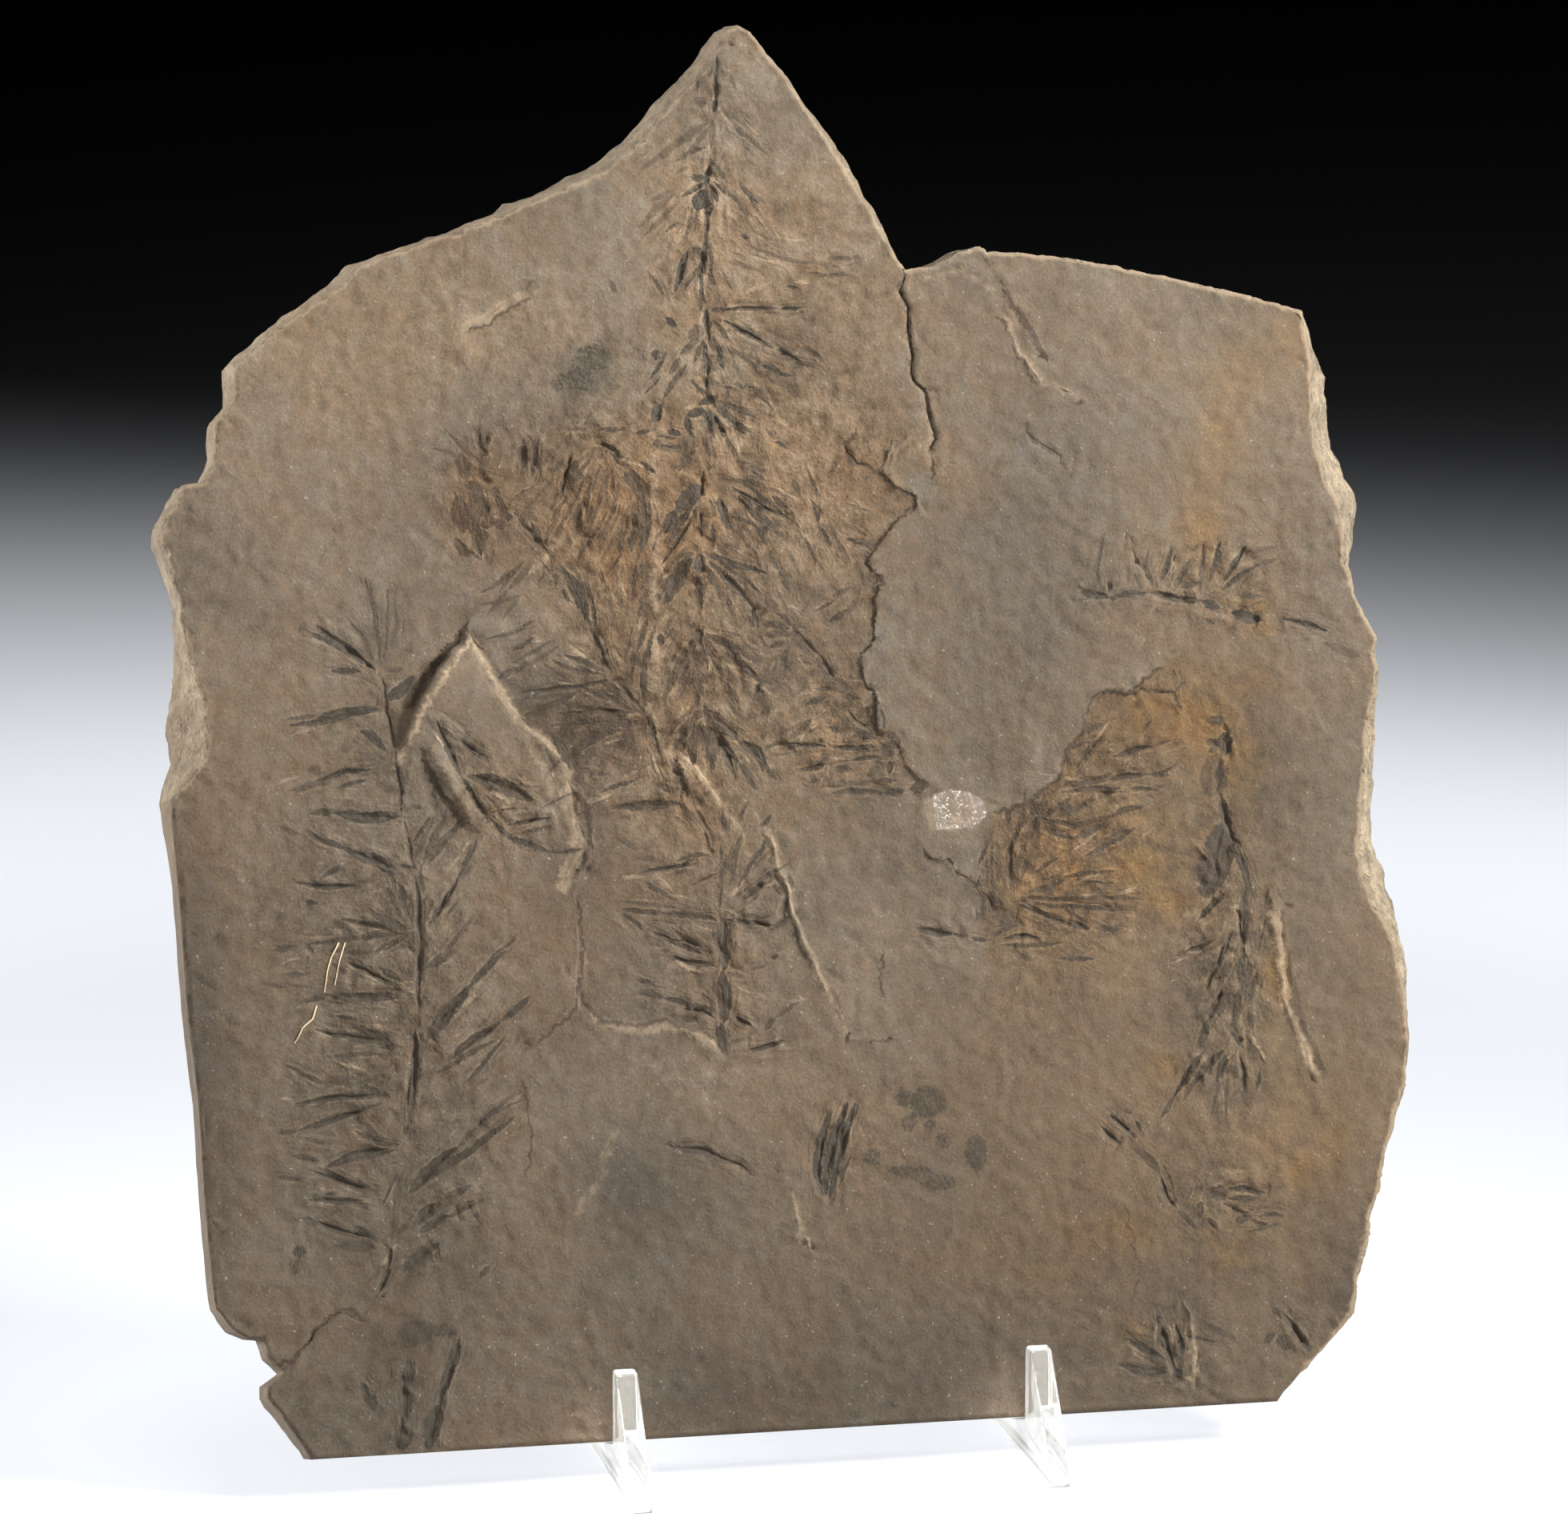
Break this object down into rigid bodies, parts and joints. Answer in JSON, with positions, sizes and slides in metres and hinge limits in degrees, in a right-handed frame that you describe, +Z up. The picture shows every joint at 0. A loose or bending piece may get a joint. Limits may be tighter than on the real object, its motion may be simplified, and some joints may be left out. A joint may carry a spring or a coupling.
{
  "type": "fossil plant slab",
  "caption": "Flat slab of shale with pressed fossil plant stems and leaves on its face, leaning back on a clear plastic display stand.",
  "frame": {"origin": "centre of the bounding box's base, on the table under the slab", "axes": "+X to the right of the slab's face, -Y out of the front, where the face and the stand's lips look, +Z up"},
  "size_m": [0.3024, 0.1468, 0.3327],
  "materials": {
    "shale": "matt, fine grained",
    "glassy_crust": "pebbled, glossy",
    "clear_plastic": "clear, polished"
  },
  "bodies": {
    "root": {"slab": "shale", "clear_patch": "glassy_crust", "stand_leg_left": "clear_plastic", "stand_leg_right": "clear_plastic", "stand_brace": "clear_plastic"}
  },
  "joints": []
}
